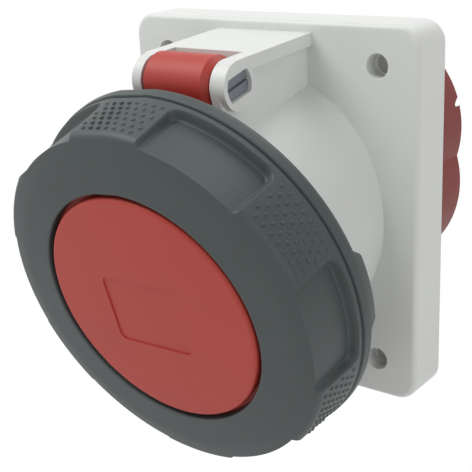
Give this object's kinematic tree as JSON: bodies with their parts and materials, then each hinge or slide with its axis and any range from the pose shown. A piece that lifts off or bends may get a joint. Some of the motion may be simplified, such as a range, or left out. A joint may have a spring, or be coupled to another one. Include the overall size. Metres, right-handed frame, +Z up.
{
  "type": "industrial panel socket",
  "caption": "Sloping flanged power socket with contact insert, hinged lid and bayonet locking ring.",
  "frame": {"origin": "centre of the four fixing holes on the back face of the flange", "axes": "+Y into the panel, +Z up, +X to the right as seen from the front"},
  "size_m": [0.1102, 0.118, 0.1206],
  "materials": {
    "housing_grey": "light grey moulded plastic, fine satin grain",
    "insert_red": "dull red moulded plastic",
    "lid_red": "satin red moulded plastic",
    "ring_grey": "dark grey moulded plastic, satin",
    "rubber_black": "soft black seal rubber",
    "contact_brass": "turned brass, nickel flash worn",
    "clamp_steel": "zinc plated steel",
    "pin_plastic": "mid grey glass-filled plastic"
  },
  "bodies": {
    "housing": {"flange": "housing_grey", "collar": "housing_grey", "panel_gasket": "rubber_black", "contact_carrier": "insert_red", "carrier_base": "insert_red", "insert_seal": "rubber_black", "terminal_block": "insert_red", "sleeve_l1": "contact_brass", "sleeve_l2": "contact_brass", "sleeve_l3": "contact_brass", "sleeve_n": "contact_brass", "sleeve_pe": "contact_brass", "pilot_contact": "contact_brass", "sleeve_springs": "clamp_steel", "clamp_l1": "clamp_steel", "clamp_l2": "clamp_steel", "clamp_l3": "clamp_steel", "clamp_n": "clamp_steel", "clamp_pe": "clamp_steel", "terminal_screws": "clamp_steel", "block_screws": "clamp_steel", "hinge_pin": "pin_plastic"},
    "lid": {"lid_cap": "lid_red", "lid_seal": "rubber_black"},
    "ring": {"locking_ring": "ring_grey"}
  },
  "joints": [
    {"name": "lid_hinge", "type": "hinge", "parent": "housing", "child": "lid", "pos_m": [0, -0.04892, 0.0424], "axis": [-1, 0, 0], "range_deg": [0, 115]},
    {"name": "ring_turn", "type": "hinge", "parent": "lid", "child": "ring", "pos_m": [0, -0.05917, -0.01275], "axis": [0, 0.9668, 0.2554], "range_deg": [0, 45]}
  ]
}
